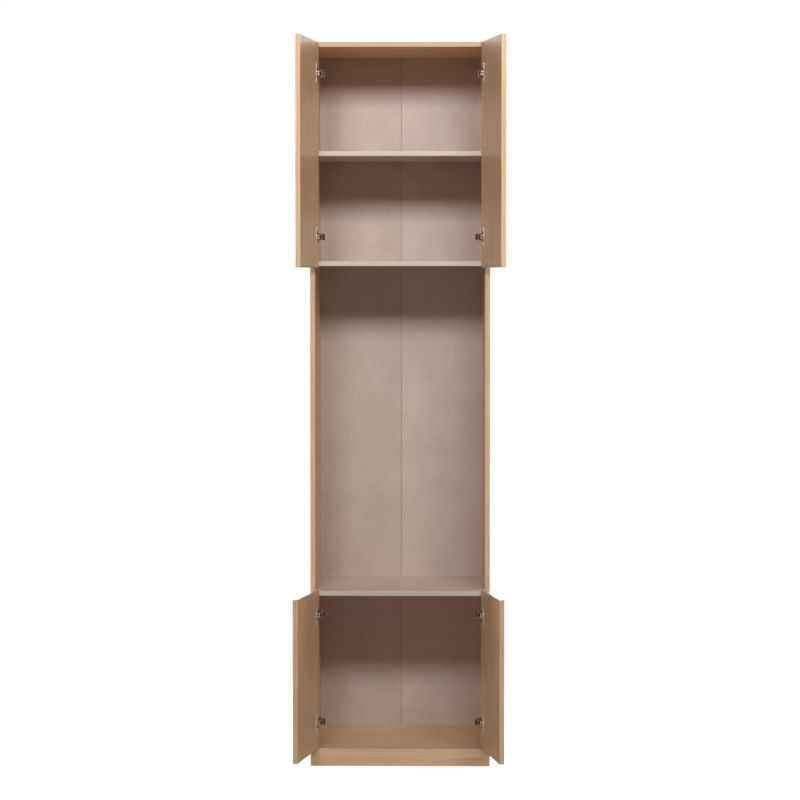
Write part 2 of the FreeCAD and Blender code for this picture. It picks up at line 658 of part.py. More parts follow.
def door_leaf(level):
    """A closed door in the hinge's frame, with its cup bores and pilot holes."""
    low, high = DOOR_LEVELS[level]
    front = -DOOR_FRONT_GAP - BOARD
    far_edge = DOOR_EDGE + DOOR_WIDTH
    leaf = rounded_board(DOOR_EDGE, far_edge, front, -DOOR_FRONT_GAP, low, high, DOOR_EDGE_ROUND)
    holes = []
    for z in hinge_heights(level):
        axis = Vector(CUP_X, 0, z)
        holes.append(rod(CUP_RADIUS, axis - Vector(0, DOOR_FRONT_GAP + CUP_BORE_DEPTH, 0), axis))
        for height in cup_screw_heights():
            pilot = cup_screw(height, SCREW_FIT)
            pilot.translate(Vector(0, 0, z))
            holes.append(pilot)
    return leaf.cut(Part.makeCompound(holes))


def write(name, shapes):
    """Writes one node, as one solid or as a group of separate solids."""
    shape = shapes[0] if len(shapes) == 1 else Part.makeCompound(shapes)
    shape.exportStep(f"parts/{name}.step")
    print(name, len(shape.Solids), "solids, volume", round(shape.Volume), "valid", shape.isValid())


def carcass_nodes():
    """Every board and fixing of the carcass."""
    nodes = {
        "side_panel_left": [side_panel(-1)],
        "side_panel_right": [side_panel(1)],
        "plinth_front": [plinth_board(0, PLINTH_HEIGHT)],
        "plinth_rear": [plinth_board(rear_rail_front(), BACK_BOTTOM)],
        "upper_shelf": [shelf()],
        "back_panel_left": [back_half(-1)],
        "back_panel_right": [back_half(1)],
        "back_seam_tape": [seam_tape()],
    }
    for name in FIXED_PANELS:
        nodes[name] = [fixed_panel(name)]
    nodes["dowels"] = []
    nodes["cam_bolts"] = []
    nodes["cam_housings"] = []
    nodes["shelf_pins"] = []
    for side in (-1, 1):
        for depth, height in side_dowel_places():
            nodes["dowels"].append(dowel(side, depth, height))
        for bottom in FIXED_PANELS.values():
            for cam, _ in joint_rows():
                nodes["cam_bolts"].append(cam_bolt(side, cam, bottom + BOARD / 2))
                nodes["cam_housings"].append(cam_housing(side, cam, bottom))
        for depth in shelf_pin_depths():
            nodes["shelf_pins"].append(shelf_pin(side, depth))
    return nodes


def fixed_on_sides(shapes, side, level):
    """The hinge pieces on one side, once for each of a door's two hinges."""
    placed = []
    for z in hinge_heights(level):
        for shape in shapes:
            placed.append(on_side_panel(shape, side, z))
    return placed


def moved_with_door(shapes, move, side, level, opening):
    """The hinge pieces of a door, carried open by one of the moves."""
    return fixed_on_sides([move(shape, opening) for shape in shapes], side, level)


def hinge_nodes(name, shared):
    """A door with its two hinges, its fasteners in the nodes shared with the other doors."""
    level, hand = name.split("_")
    side = -1 if hand == "left" else 1
    opening = OPENING[name]
    screws = [cup_screw(height) for height in cup_screw_heights()]
    plate_screws = [plate_screw(height) for height in plate_screw_heights()]
    shared["hinge_arm_pins"] += fixed_on_sides(arm_pins(), side, level)
    shared["hinge_arm_screws"] += fixed_on_sides(arm_screws(), side, level)
    shared["mounting_plate_screws"] += fixed_on_sides(plate_screws, side, level)
    return {
        f"{name}_door": [on_side_panel(opened_with_door(door_leaf(level), opening), side, 0)],
        f"{name}_hinge_cups": moved_with_door([hinge_cup()], opened_with_door, side, level, opening),
        f"{name}_cup_screws": moved_with_door(screws, opened_with_door, side, level, opening),
        f"{name}_cup_pins": moved_with_door(cup_pins(), opened_with_door, side, level, opening),
        f"{name}_outer_links": moved_with_door([outer_link()], opened_outer_link, side, level, opening),
        f"{name}_inner_links": moved_with_door([inner_link()], opened_inner_link, side, level, opening),
        f"{name}_hinge_arms": fixed_on_sides([hinge_arm()], side, level),
        f"{name}_mounting_plates": fixed_on_sides([mounting_plate()], side, level),
    }


def main():
    """Builds every node."""
    os.makedirs("parts", exist_ok=True)
    shared = {"hinge_arm_pins": [], "hinge_arm_screws": [], "mounting_plate_screws": []}
    nodes = carcass_nodes()
    for name in OPENING:
        nodes.update(hinge_nodes(name, shared))
    nodes.update(shared)
    for name, shapes in nodes.items():
        write(name, shapes)


main()
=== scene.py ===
import logging
import math
from dataclasses import dataclass
from enum import Enum
from typing import Callable, Sequence

import bpy
import numpy as np
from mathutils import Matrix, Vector


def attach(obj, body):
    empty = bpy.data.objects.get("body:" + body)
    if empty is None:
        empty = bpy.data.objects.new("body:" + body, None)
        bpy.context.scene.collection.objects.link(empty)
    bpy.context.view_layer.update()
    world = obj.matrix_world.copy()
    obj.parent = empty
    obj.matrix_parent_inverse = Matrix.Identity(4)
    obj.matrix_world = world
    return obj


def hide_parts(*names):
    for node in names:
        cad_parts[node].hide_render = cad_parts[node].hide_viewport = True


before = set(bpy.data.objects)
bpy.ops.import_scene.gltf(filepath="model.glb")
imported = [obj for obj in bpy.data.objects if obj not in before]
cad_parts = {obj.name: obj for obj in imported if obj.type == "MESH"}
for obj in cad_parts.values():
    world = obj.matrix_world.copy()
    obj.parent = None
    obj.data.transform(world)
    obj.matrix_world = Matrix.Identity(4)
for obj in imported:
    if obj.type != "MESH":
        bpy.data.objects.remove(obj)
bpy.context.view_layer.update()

LOG = logging.getLogger("tall_cabinet")
MILLIMETRE = 0.001
STEPS_TO_METRE = 1e6
NOISE_MIDDLE = 0.5
DOORS = ("upper_left", "upper_right", "lower_left", "lower_right")
WHITE = (1.0, 1.0, 1.0, 1.0)
BLACK = (0.0, 0.0, 0.0, 1.0)
Colour = tuple[float, float, float, float]
Place = tuple[float, float, float]


def srgb(red: int, green: int, blue: int) -> Colour:
    """Turns a colour written 0 to 255, as a screen shows it, into the linear colour a shader takes.

    Args:
        red: Red, 0 to 255.
        green: Green, 0 to 255.
        blue: Blue, 0 to 255.

    Returns:
        The linear colour with full alpha.
    """
    def linear(channel: int) -> float:
        """Undoes the screen curve for one channel."""
        value = channel / 255
        return value / 12.92 if value <= 0.04045 else ((value + 0.055) / 1.055) ** 2.4

    return (linear(red), linear(green), linear(blue), 1.0)


class Shade:
    """An output socket that can be used in Python expressions, each adding its Math node."""

    def __init__(self, bench: "Bench", socket: bpy.types.NodeSocket) -> None:
        """Wraps a socket of a bench's tree."""
        self.bench = bench
        self.socket = socket

    def _math(self, operation: str, *others: "Shade | float", clamp: bool = False) -> "Shade":
        """Adds a Math node with this socket first."""
        settings = {"operation": operation, "use_clamp": clamp}
        return self.bench.add("ShaderNodeMath", settings, dict(enumerate((self, *others))))

    def __add__(self, other: "Shade | float") -> "Shade":
        """Sum."""
        return self._math("ADD", other)

    def __radd__(self, other: float) -> "Shade":
        """Sum with a number on the left."""
        return self._math("ADD", other)

    def __sub__(self, other: "Shade | float") -> "Shade":
        """Difference."""
        return self._math("SUBTRACT", other)

    def __rsub__(self, other: float) -> "Shade":
        """Number minus this."""
        return (self * -1.0) + other

    def __mul__(self, other: "Shade | float") -> "Shade":
        """Product."""
        return self._math("MULTIPLY", other)

    def __rmul__(self, other: float) -> "Shade":
        """Product with a number on the left."""
        return self._math("MULTIPLY", other)

    def __truediv__(self, other: "Shade | float") -> "Shade":
        """Quotient."""
        return self._math("DIVIDE", other)

    def __pow__(self, other: float) -> "Shade":
        """Power."""
        return self._math("POWER", other)

    def fraction(self) -> "Shade":
        """What is left above the whole number."""
        return self._math("FRACT")

    def beside(self, output: int | str) -> "Shade":
        """Another output of the same node."""
        return Shade(self.bench, self.socket.node.outputs[output])

    def clipped(self) -> "Shade":
        """The value held between 0 and 1."""
        return self._math("ADD", 0.0, clamp=True)

    def larger(self, other: "Shade | float") -> "Shade":
        """The larger of two values."""
        return self._math("MAXIMUM", other)

    def off_middle(self) -> "Shade":
        """How far a noise is above its middle."""
        return self - NOISE_MIDDLE

    def step(self, low: float, high: float) -> "Shade":
        """A smooth rise from 0 at low to 1 at high.

        Args:
            low: Where the rise starts.
            high: Where it ends.

        Returns:
            The smooth step.
        """
        settings = {"interpolation_type": "SMOOTHSTEP"}
        values = {"Value": self, "From Min": low, "From Max": high, "To Min": 0.0, "To Max": 1.0}
        return self.bench.add("ShaderNodeMapRange", settings, values)


class Bench:
    """A node tree, built by one method for every kind of node."""

    def __init__(self, tree: bpy.types.NodeTree) -> None:
        """Starts with an empty tree."""
        self.tree = tree
        self.tree.nodes.clear()

    def add(self, kind: str, settings: dict | None = None, values: dict | None = None,
            output: int | str | None = 0) -> "Shade | bpy.types.Node":
        """Adds a node, sets it up and links it.

        Args:
            kind: The node's type.
            settings: Attributes set before any value, such as an operation.
            values: Numbers, colours or Shades by socket name or number.
            output: The output that is wanted, or None for the node itself.

        Returns:
            That output, wrapped, or the node.
        """
        node = self.tree.nodes.new(kind)
        for key, setting in (settings or {}).items():
            setattr(node, key, setting)
        for key, value in (values or {}).items():
            self.feed(node.inputs[key], value)
        return node if output is None else Shade(self, node.outputs[output])

    def feed(self, socket: bpy.types.NodeSocket, value: "Shade | float | Sequence[float]") -> None:
        """Links a Shade to a socket, or sets a plain value on it."""
        if isinstance(value, Shade):
            self.tree.links.new(value.socket, socket)
        else:
            socket.default_value = value

    def seen(self) -> Shade:
        """1 for what is looked at, straight, mirrored or through a piece, 0 for light on the cabinet."""
        camera_ray = self.add("ShaderNodeLightPath", output="Is Camera Ray")
        glossy_ray = camera_ray.beside("Is Glossy Ray")
        return camera_ray.larger(glossy_ray).larger(camera_ray.beside("Is Transmission Ray"))


class Recipe(Bench):
    """A material's node tree."""

    def __init__(self, name: str) -> None:
        """Starts a material with only its output and one Principled shader."""
        self.material = bpy.data.materials.new(name)
        self.material.use_nodes = True
        super().__init__(self.material.node_tree)
        self.skin = self.add("ShaderNodeBsdfPrincipled")
        self.output = self.add("ShaderNodeOutputMaterial", values={"Surface": self.skin}, output=None)

    def place(self) -> tuple[Shade, Shade, Shade]:
        """The piece's own X, Y and Z in metres."""
        where = self.add("ShaderNodeTexCoord", output="Object")
        x = self.add("ShaderNodeSeparateXYZ", values={0: where})
        return x, x.beside(1), x.beside(2)

    def point(self, x: Shade, y: Shade, z: Shade) -> Shade:
        """A vector from three values."""
        return self.add("ShaderNodeCombineXYZ", values={0: x, 1: y, 2: z})

    def noise(self, point: Shade, detail: float = 2.0, rough: float = 0.5, scale: float = 1.0) -> Shade:
        """Smooth noise about 0.5.

        Args:
            point: Where it is read.
            detail: How many finer layers.
            rough: How strong the finer layers are.
            scale: How many features to a unit.

        Returns:
            The noise, 0 to 1.
        """
        return self.add("ShaderNodeTexNoise", {"noise_dimensions": "3D"},
                        {"Vector": point, "Scale": scale, "Detail": detail, "Roughness": rough})

    def blend(self, mask: Shade, first: Shade | Colour, second: Shade | Colour) -> Shade:
        """Mixes two colours by a mask.

        Args:
            mask: 0 for the first, 1 for the second.
            first: The colour under the mask.
            second: The colour that the mask brings in.

        Returns:
            The mixed colour.
        """
        settings = {"data_type": "RGBA", "clamp_factor": True}
        return self.add("ShaderNodeMix", settings, {0: mask, 6: first, 7: second}, output=2)

    def relief(self, height: Shade, depth: float, strength: float = 1.0) -> None:
        """Gives the surface a bump of a depth in metres."""
        bump = self.add("ShaderNodeBump", values={"Strength": strength, "Distance": depth, "Height": height})
        self.feed(self.skin.socket.node.inputs["Normal"], bump)

    def finish(self, **sockets: "Shade | float | Sequence[float]") -> bpy.types.Material:
        """Sets the shader's sockets, with spaces for underscores in their names, and returns the material."""
        for key, value in sockets.items():
            self.feed(self.skin.socket.node.inputs[key.replace("_", " ")], value)
        return self.material


class Grain(Enum):
    """Which way a board's grain runs."""

    UPRIGHT = "upright"
    ACROSS = "across"


@dataclass(frozen=True)
class OakDecor:
    """Light oak decor paper under satin melamine: arched growth rings, long fibres and short dark pores.

    Widths are across the grain and lengths along it, in metres. A share says how much of a colour comes in,
    a gain how much stronger than its noise a pattern is, and a rise the noise's levels where a pattern starts
    and where it is full. A ring darkens up to ring_full of its width and pales again from ring_fall on.
    """

    name: str
    grain: Grain
    light: Colour = srgb(234, 197, 163)
    middle: Colour = srgb(219, 179, 143)
    dark: Colour = srgb(190, 148, 112)
    pore: Colour = srgb(153, 115, 84)
    # The edge tone and its share, depth and fade give a painted shade: a darker front edge, used on the top
    # panel.
    edge: Colour = srgb(191, 160, 141)
    edge_share: float = 0.0
    edge_depth: float = 0.0002
    edge_fade: float = 0.001
    ring_width: float = 0.13
    ring_length: float = 1.5
    ring_count: float = 11.0
    ring_full: float = 0.72
    ring_fall: float = 0.8
    ring_share: float = 0.5
    waver: float = 0.06
    waver_width_share: float = 1 / 6
    waver_length_share: float = 1 / 5
    tone_width: float = 0.045
    tone_length: float = 1.1
    tone_rise: tuple[float, float] = (0.35, 0.75)
    tone_share: float = 0.22
    band_width: float = 0.007
    band_length: float = 0.5
    band_gain: float = 1.9
    ground_share: float = 0.13
    fibre_width: float = 0.0018
    fibre_length: float = 0.16
    fibre_start: float = 0.43
    fibre_gain: float = 2.6
    pore_width: float = 0.0006
    pore_length: float = 0.014
    pore_rise: tuple[float, float] = (0.6, 0.72)
    pore_share: float = 0.46
    pore_share_off_ring: float = 0.35
    relief_depth: float = 0.00008
    relief_strength: float = 0.5
    fibre_height: float = 0.25
    roughness: float = 0.33
    fibre_roughness: float = 0.12
    pore_roughness: float = 0.1
    specular: float = 0.22

    def grained(self, recipe: Recipe, width: float, length: float, detail: float = 2.0,
                rough: float = 0.5) -> Shade:
        """Noise that is stretched along the grain.

        Args:
            recipe: The material's tree.
            width: A feature's size across the grain.
            length: Its size along the grain.
            detail: How many finer layers.
            rough: How strong the finer layers are.

        Returns:
            The noise, 0 to 1.
        """
        x, y, z = recipe.place()
        if self.grain is Grain.UPRIGHT:
            where = recipe.point(x / width, y / width, z / length)
        else:
            where = recipe.point(x / length, y / width, z / width)
        return recipe.noise(where, detail, rough)

    def rings(self, recipe: Recipe) -> Shade:
        """The growth rings: contour lines of a noise that is long along the grain, with a sharp far side."""
        arch = self.grained(recipe, self.ring_width, self.ring_length, detail=1.5, rough=0.45)
        waver = self.grained(recipe, self.ring_width * self.waver_width_share,
                             self.ring_length * self.waver_length_share)
        rings = ((arch + waver.off_middle() * self.waver) * self.ring_count).fraction()
        return rings.step(0.0, self.ring_full) * (1.0 - rings.step(self.ring_fall, 1.0))

    def build(self) -> bpy.types.Material:
        """Builds the material.

        Returns:
            The oak decor; where a share for it is given, its front edge is blended to a darker tone, a
            painted shade on that edge.
        """
        recipe = Recipe(self.name)
        ring = self.rings(recipe)
        tone = self.grained(recipe, self.tone_width, self.tone_length)
        fibre = self.grained(recipe, self.fibre_width, self.fibre_length, detail=3.0, rough=0.6)
        band = self.grained(recipe, self.band_width, self.band_length)
        pores = self.grained(recipe, self.pore_width, self.pore_length, detail=1.0)
        on_ring = self.pore_share_off_ring + (1 - self.pore_share_off_ring) * ring
        stroke = pores.step(*self.pore_rise) * on_ring
        body = ring * self.ring_share + band.off_middle() * self.band_gain + self.ground_share
        colour = recipe.blend(body.clipped(), self.light, self.middle)
        colour = recipe.blend(((fibre - self.fibre_start) * self.fibre_gain).clipped(), colour, self.dark)
        colour = recipe.blend(tone.step(*self.tone_rise) * self.tone_share, colour, self.middle)
        colour = recipe.blend(stroke * self.pore_share, colour, self.pore)
        # Painted shade: the front edge is blended towards the darker edge tone.
        if self.edge_share:
            front = 1.0 - recipe.place()[1].step(self.edge_depth, self.edge_depth + self.edge_fade)
            colour = recipe.blend(front * self.edge_share, colour, self.edge)
        recipe.relief(stroke * -1.0 + fibre * self.fibre_height, self.relief_depth, self.relief_strength)
        rough = self.roughness + fibre.off_middle() * self.fibre_roughness + stroke * self.pore_roughness
        return recipe.finish(Base_Color=colour, Roughness=rough, Specular_IOR_Level=self.specular)


@dataclass(frozen=True)
class LinenDecor:
    """A woven decor paper: two crossed sets of uneven threads on a greyish beige ground.

    Widths and runs are in metres: a thread's or slub's width, and how far it keeps its tone.
    """

    name: str
    ground: Colour
    dark_thread: Colour
    pale_thread: Colour
    edge: Colour = srgb(212, 196, 185)
    edge_share: float = 0.8
    edge_depth: float = 0.0022
    edge_fade: float = 0.001
    thread: float = 0.0011
    thread_run: float = 0.03
    thread_gain: float = 0.9
    slub: float = 0.0034
    slub_run: float = 0.05
    slub_gain: float = 0.8
    upright_share: float = 0.7
    cloud_count: float = 9.0
    cloud_gain: float = 1.05
    relief_depth: float = 0.00012
    relief_strength: float = 0.45
    roughness: float = 0.33
    weave_roughness: float = 0.15
    specular: float = 0.18

    def threads(self, recipe: Recipe, width: float, run: float) -> Shade:
        """The crossed threads at a place, 0 to 1.

        Args:
            recipe: The material's tree.
            width: A thread's width.
            run: How far a thread keeps its tone.

        Returns:
            Noise that is long along the level, mixed with noise that is long along the upright and the depth.
        """
        x, y, z = recipe.place()
        level = recipe.noise(recipe.point(x / run, y / width, z / width), detail=1.0)
        upright = recipe.noise(recipe.point(x / width, y / run, z / run), detail=1.0)
        return level * (1 - self.upright_share) + upright * self.upright_share

    def build(self) -> bpy.types.Material:
        """Builds the material.

        Returns:
            The linen decor: fine threads for the weave, and wider slubs that show from a few steps away.
        """
        recipe = Recipe(self.name)
        weave = self.threads(recipe, self.thread, self.thread_run)
        slubs = self.threads(recipe, self.slub, self.slub_run)
        x, y, z = recipe.place()
        cloud = recipe.noise(recipe.point(x, y, z), detail=3.0, scale=self.cloud_count)
        tone = weave.off_middle() * self.thread_gain + slubs.off_middle() * self.slub_gain
        tone = tone + cloud.off_middle() * self.cloud_gain
        colour = recipe.blend(tone.clipped(), self.ground, self.pale_thread)
        colour = recipe.blend((tone * -1.0).clipped(), colour, self.dark_thread)
        front = 1.0 - y.step(self.edge_depth, self.edge_depth + self.edge_fade)
        colour = recipe.blend(front * self.edge_share, colour, self.edge)
        recipe.relief(weave, self.relief_depth, self.relief_strength)
        rough = self.roughness + weave.off_middle() * self.weave_roughness
        return recipe.finish(Base_Color=colour, Roughness=rough, Specular_IOR_Level=self.specular)


@dataclass(frozen=True)
class PlatedSteel:
    """Pressed or turned steel with a thin bright plating: soft brush lines and faint dull stains."""

    name: str
    colour: Colour
    dull: Colour
    roughness: float
    lines_across: float = 2600.0
    lines_along: float = 260.0
    line_share: float = 0.5
    stain_count: float = 160.0
    stain_rise: tuple[float, float] = (0.45, 0.75)
    stain_share: float = 0.5
    dull_rise: tuple[float, float] = (0.5, 0.8)
    roughness_share: float = 0.12
    relief_depth: float = 0.00002
    relief_strength: float = 0.35

    def build(self) -> bpy.types.Material:
        """Builds the material.

        Returns:
            The plated metal, its lines running along the depth of the cabinet.
        """
        recipe = Recipe(self.name)
        x, y, z = recipe.place()
        lines = recipe.noise(recipe.point(x * self.lines_across, y * self.lines_along, z * self.lines_across))
        stain = recipe.noise(recipe.point(x, y, z), detail=3.0, scale=self.stain_count)
        mask = stain.step(*self.stain_rise) * self.stain_share + lines.off_middle() * self.line_share
        colour = recipe.blend(mask.clipped(), self.colour, self.dull)
        recipe.relief(lines, self.relief_depth, self.relief_strength)
        uneven = lines.off_middle() + stain.step(*self.dull_rise)
        rough = self.roughness + uneven * self.roughness_share
        return recipe.finish(Base_Color=colour, Roughness=rough, Metallic=1.0)


@dataclass(frozen=True)
class BeechPeg:
    """Bare beech: pale, with fine flecks along the peg."""

    name: str
    pale: Colour = srgb(224, 192, 152)
    fleck: Colour = srgb(178, 135, 92)
    flecks_across: float = 1900.0
    flecks_along: float = 260.0
    fleck_rise: tuple[float, float] = (0.52, 0.7)
    fleck_share: float = 0.6
    relief_depth: float = 0.0001
    relief_strength: float = 0.4
    roughness: float = 0.62
    fleck_roughness: float = 0.2

    def build(self) -> bpy.types.Material:
        """Builds the material."""
        recipe = Recipe(self.name)
        x, y, z = recipe.place()
        where = recipe.point(x * self.flecks_along, y * self.flecks_across, z * self.flecks_across)
        fleck = recipe.noise(where)
        colour = recipe.blend(fleck.step(*self.fleck_rise) * self.fleck_share, self.pale, self.fleck)
        recipe.relief(fleck, self.relief_depth, self.relief_strength)
        rough = self.roughness + fleck.off_middle() * self.fleck_roughness
        return recipe.finish(Base_Color=colour, Roughness=rough)


@dataclass(frozen=True)
class SeamTape:
    """Brown joining tape with creped paper ribs across its length."""

    name: str
    colour: Colour = srgb(157, 132, 106)
    rib: Colour = srgb(136, 113, 89)
    ribs_across: float = 90.0
    ribs_along: float = 700.0
    rib_rise: tuple[float, float] = (0.4, 0.7)
    rib_share: float = 0.6
    relief_depth: float = 0.0002
    relief_strength: float = 0.5
    roughness: float = 0.7
    rib_roughness: float = 0.15

    def build(self) -> bpy.types.Material:
        """Builds the material."""
        recipe = Recipe(self.name)
        x, y, z = recipe.place()
        ribs = recipe.noise(recipe.point(x * self.ribs_across, y, z * self.ribs_along))
        colour = recipe.blend(ribs.step(*self.rib_rise) * self.rib_share, self.colour, self.rib)
        recipe.relief(ribs, self.relief_depth, self.relief_strength)
        rough = self.roughness + ribs.off_middle() * self.rib_roughness
        return recipe.finish(Base_Color=colour, Roughness=rough)


@dataclass(frozen=True)
class StudioFloor:
    """A pale floor that shows white to the camera and keeps the cabinet's shadow.

    Its own light rises from lift within the near distance to full at the far one, both in metres.
    """

    name: str
    colour: Colour = srgb(205, 203, 200)
    speck: Colour = srgb(192, 190, 187)
    speck_count: float = 60.0
    speck_start: float = 0.4
    speck_share: float = 0.1
    lift: float = 0.8
    near: float = 1.6
    far: float = 4.5
    roughness: float = 0.9
    specular: float = 0.1

    def build(self) -> bpy.types.Material:
        """Builds the material.

        Returns:
            A matt surface, with a light of its own that adds nothing to the light on the cabinet.
        """
        recipe = Recipe(self.name)
        x, y, z = recipe.place()
        speck = recipe.noise(recipe.point(x, y, z), detail=3.0, scale=self.speck_count)
        mask = (speck - self.speck_start).clipped() * self.speck_share
        colour = recipe.blend(mask, self.colour, self.speck)
        distance = (x * x + y * y) ** 0.5
        lifted = (self.lift, self.lift, self.lift, 1.0)
        light = recipe.blend(distance.step(self.near, self.far), lifted, WHITE)
        recipe.finish(Base_Color=colour, Roughness=self.roughness, Specular_IOR_Level=self.specular)
        glow = recipe.add("ShaderNodeEmission", values={"Color": light, "Strength": 1.0})
        none = recipe.add("ShaderNodeEmission", values={"Color": BLACK, "Strength": 0.0})
        gate = recipe.add("ShaderNodeMixShader", values={0: recipe.seen(), 1: none, 2: glow})
        both = recipe.add("ShaderNodeAddShader", values={0: recipe.skin, 1: gate})
        recipe.feed(recipe.output.inputs["Surface"], both)
        return recipe.material


def grid_faces(rows: int, columns: int, closed: bool) -> np.ndarray:
    """The faces of a grid of points, row by row.

    Args:
        rows: Points along the first parameter.
        columns: Points along the second parameter.
        closed: Whether the last column joins the first.

    Returns:
        Four point numbers for each face.
    """
    wide = columns if closed else columns - 1
    row, column = np.meshgrid(np.arange(rows - 1), np.arange(wide), indexing="ij")
    after = (column + 1) % columns
    this_row, next_row = row * columns, (row + 1) * columns
    corners = (this_row + column, this_row + after, next_row + after, next_row + column)
    return np.stack(corners, axis=-1).reshape(-1, 4)


def make_piece(name: str, points: np.ndarray, faces: np.ndarray, material: bpy.types.Material,
               smooth_under: float = 40.0) -> bpy.types.Object:
    """Puts points and faces into a mesh object at the origin.

    Args:
        name: The piece's name.
        points: Its points in metres, one row each.
        faces: Point numbers, one row for each face.
        material: Its finish.
        smooth_under: Edges flatter than this many degrees are shaded smooth.

    Returns:
        The new object.
    """
    mesh = bpy.data.meshes.new(name)
    mesh.from_pydata(points.tolist(), [], faces.tolist())
    mesh.materials.append(material)
    mesh.validate()
    piece = bpy.data.objects.new(name, mesh)
    bpy.context.scene.collection.objects.link(piece)
    mesh.shade_smooth()
    mesh.set_sharp_from_angle(angle=math.radians(smooth_under))
    return piece


def node_points(node: str) -> tuple[np.ndarray, np.ndarray]:
    """A CAD node's points with doubles merged, and its triangles.

    Args:
        node: The node's name.

    Returns:
        The merged points, and three point numbers for each triangle.
    """
    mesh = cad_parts[node].data
    raw = np.empty(len(mesh.vertices) * 3)
    mesh.vertices.foreach_get("co", raw)
    mesh.calc_loop_triangles()
    corners = np.empty(len(mesh.loop_triangles) * 3, dtype=int)
    mesh.loop_triangles.foreach_get("vertices", corners)
    points = raw.reshape(-1, 3)
    keys = np.round(points * STEPS_TO_METRE).astype(np.int64)
    _, first, merged = np.unique(keys, axis=0, return_index=True, return_inverse=True)
    return points[first], merged.reshape(-1)[corners].reshape(-1, 3)


def centre(points: np.ndarray) -> np.ndarray:
    """The middle of the points' box, along each of their columns."""
    return (points.min(axis=0) + points.max(axis=0)) / 2


def node_solids(node: str) -> list[np.ndarray]:
    """The points of each separate solid of a CAD node.

    Args:
        node: The node's name.

    Returns:
        One array of points for each solid. Each point takes the lowest number among its triangle's
        corners, again and again, until every point of a solid carries the same number.
    """
    points, triangles = node_points(node)
    label = np.arange(len(points))
    while True:
        lowest = label[triangles].min(axis=1)
        updated = label.copy()
        np.minimum.at(updated, triangles.reshape(-1), np.repeat(lowest, 3))
        if np.array_equal(updated, label):
            break
        label = updated
    return [points[label == value] for value in np.unique(label)]


@dataclass(frozen=True)
class EdgeRound:
    """Small rounds for the edges of a stamped or moulded piece: a width in metres, and angles in degrees."""

    width: float = 0.25 * MILLIMETRE
    segments: int = 2
    sharp_over: float = 40.0
    smooth_under: float = 30.0

    def set_in(self, node: str, material: bpy.types.Material, body: str) -> bpy.types.Object:
        """Puts a CAD node's shape with rounded edges in the node's place.

        Args:
            node: The node that the piece stands for.
            material: Its finish.
            body: The CAD body that it moves with.

        Returns:
            The new piece, with a Bevel modifier on the merged shape.
        """
        points, triangles = node_points(node)
        whole = (triangles != np.roll(triangles, 1, axis=1)).all(axis=1)
        piece = make_piece(f"{node}_formed", points, triangles[whole], material, self.smooth_under)
        bevel = piece.modifiers.new("edge_round", "BEVEL")
        bevel.width = self.width
        bevel.segments = self.segments
        bevel.limit_method = "ANGLE"
        bevel.angle_limit = math.radians(self.sharp_over)
        bevel.use_clamp_overlap = True
        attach(piece, body)
        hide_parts(node)
        return piece


